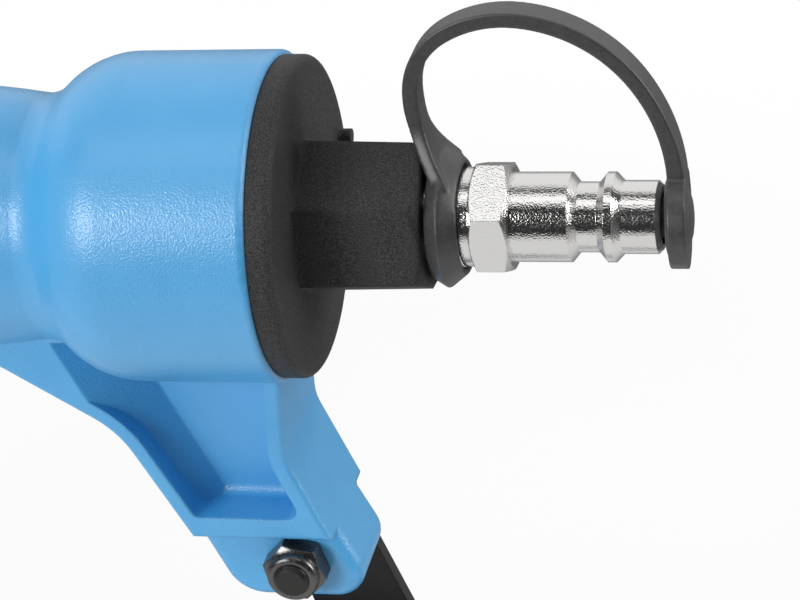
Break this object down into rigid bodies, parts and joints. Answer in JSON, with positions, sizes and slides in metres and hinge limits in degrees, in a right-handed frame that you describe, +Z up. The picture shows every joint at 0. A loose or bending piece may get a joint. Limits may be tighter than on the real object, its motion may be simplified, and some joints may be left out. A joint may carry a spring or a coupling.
{
  "type": "pneumatic stapler",
  "caption": "Hand-held pneumatic stapler with a cast blue body, black hexagon end cap, plated air plug with rubber dust cap, trigger, safety foot and drawer magazine.",
  "frame": {"origin": "on the driver's line at the underside of the contact foot, where the tool meets the work", "axes": "+X from the nose to the air plug, +Z up the driver's line, +Y to the tool's left seen from its rear"},
  "size_m": [0.2663, 0.06, 0.1986],
  "materials": {
    "blue_coat": "satin powder coat",
    "black_moulding": "fine grained",
    "black_steel": "black oxide",
    "bolt_steel": "plain steel",
    "plating": "bright plated, fine turned",
    "strap_rubber": "smooth",
    "grip_rubber": "matte",
    "seal_rubber": "smooth",
    "gasket": "fibre",
    "aluminium": "anodised satin",
    "cap_casting": "satin powder coat",
    "nose_steel": "ground",
    "white_moulding": "acetal",
    "brass": "turned",
    "spring_steel": "drawn wire"
  },
  "bodies": {
    "frame": {"air_plug": "plating", "bumper": "seal_rubber", "cap_gasket": "gasket", "cap_screws": "black_steel", "contact_spring": "spring_steel", "cylinder": "aluminium", "cylinder_o_ring": "seal_rubber", "deflector_screw": "black_steel", "end_cap": "black_moulding", "end_cap_o_ring": "seal_rubber", "foot_guide_screws": "black_steel", "front_plate_screws": "black_steel", "grip_sleeve": "grip_rubber", "hanger_bolt": "black_steel", "hanger_nut": "black_steel", "hanger_plate": "black_steel", "hanger_screws": "black_steel", "head_cap": "cap_casting", "head_valve_spring": "spring_steel", "magazine_channel": "aluminium", "magazine_screws": "black_steel", "main_body": "blue_coat", "nose_body": "nose_steel", "nose_front_plate": "nose_steel", "nose_screws": "black_steel", "trigger_pin": "bolt_steel", "trigger_valve_body": "white_moulding", "trigger_valve_cap": "white_moulding", "valve_o_rings": "seal_rubber", "valve_pin": "bolt_steel", "valve_spring": "spring_steel"},
    "driver": {"piston": "aluminium", "piston_o_ring": "seal_rubber", "driver_blade": "nose_steel", "driver_pin": "bolt_steel"},
    "head_valve": {"head_valve": "white_moulding"},
    "deflector": {"exhaust_deflector": "black_moulding"},
    "contact_foot": {"contact_foot": "nose_steel", "push_rod": "nose_steel"},
    "trigger": {"trigger": "black_steel", "trip_lever_pin": "bolt_steel"},
    "trip_lever": {"trip_lever": "nose_steel"},
    "valve_stem": {"valve_stem": "brass"},
    "drawer": {"magazine_rail": "nose_steel", "magazine_end_block": "black_moulding", "pusher_rod": "nose_steel", "pusher_spring": "spring_steel", "latch_pin": "bolt_steel", "latch_spring": "spring_steel"},
    "pusher": {"pusher": "white_moulding"},
    "latch": {"magazine_latch": "black_steel"},
    "dust_strap": {"dust_cap_strap": "strap_rubber"},
    "dust_plug": {"dust_cap_plug": "strap_rubber"}
  },
  "joints": [
    {"name": "trigger_pull", "type": "hinge", "parent": "frame", "child": "trigger", "pos_m": [0.036, 0, 0.101], "axis": [0, -1, 0], "range_deg": [0, 11], "stiffness_Nm_per_rad": 0.3, "springref_deg": -17.19},
    {"name": "valve_stem_lift", "type": "slide", "parent": "frame", "child": "valve_stem", "axis": [0, 0, 1], "range_m": [0, 0.0035], "deforming": ["valve_spring"]},
    {"name": "contact_foot_press", "type": "slide", "parent": "frame", "child": "contact_foot", "axis": [0, 0, 1], "range_m": [0, 0.006], "stiffness_N_per_m": 400, "springref_m": -0.02, "deforming": ["contact_spring"]},
    {"name": "trip_lever_tilt", "type": "hinge", "parent": "trigger", "child": "trip_lever", "pos_m": [0.064, 0, 0.0945], "axis": [0, 1, 0], "range_deg": [0, 4]},
    {"name": "driver_stroke", "type": "slide", "parent": "frame", "child": "driver", "axis": [0, 0, -1], "range_m": [0, 0.042]},
    {"name": "head_valve_lift", "type": "slide", "parent": "frame", "child": "head_valve", "axis": [0, 0, 1], "range_m": [0, 0.004], "stiffness_N_per_m": 500, "springref_m": -0.004, "deforming": ["head_valve_spring"]},
    {"name": "deflector_turn", "type": "hinge", "parent": "frame", "child": "deflector", "pos_m": [0, 0, 0.1841], "axis": [0, 0, 1], "continuous": true},
    {"name": "magazine_draw", "type": "slide", "parent": "frame", "child": "drawer", "axis": [1, 0, 0], "range_m": [0, 0.12]},
    {"name": "pusher_feed", "type": "slide", "parent": "drawer", "child": "pusher", "axis": [1, 0, 0], "range_m": [0, 0.125], "stiffness_N_per_m": 20, "springref_m": -0.1, "deforming": ["pusher_spring"]},
    {"name": "latch_press", "type": "hinge", "parent": "drawer", "child": "latch", "pos_m": [0.229, 0, 0.061], "axis": [0, 1, 0], "range_deg": [-6, 8], "stiffness_Nm_per_rad": 0.05, "deforming": ["latch_spring"]},
    {"name": "dust_cap_swivel", "type": "hinge", "parent": "frame", "child": "dust_strap", "pos_m": [0.1758, 0, 0.13], "axis": [1, 0, 0], "continuous": true},
    {"name": "dust_cap_swing", "type": "hinge", "parent": "dust_strap", "child": "dust_plug", "pos_m": [0.22752, 0, 0.14562], "axis": [0, -1, 0], "range_deg": [0, 110]}
  ],
  "couplings": [
    {"joint": "valve_stem_lift", "follows": "trigger_pull", "m_per_rad": 0.018},
    {"joint": "trip_lever_tilt", "follows": "contact_foot_press", "rad_per_m": 11.6}
  ]
}
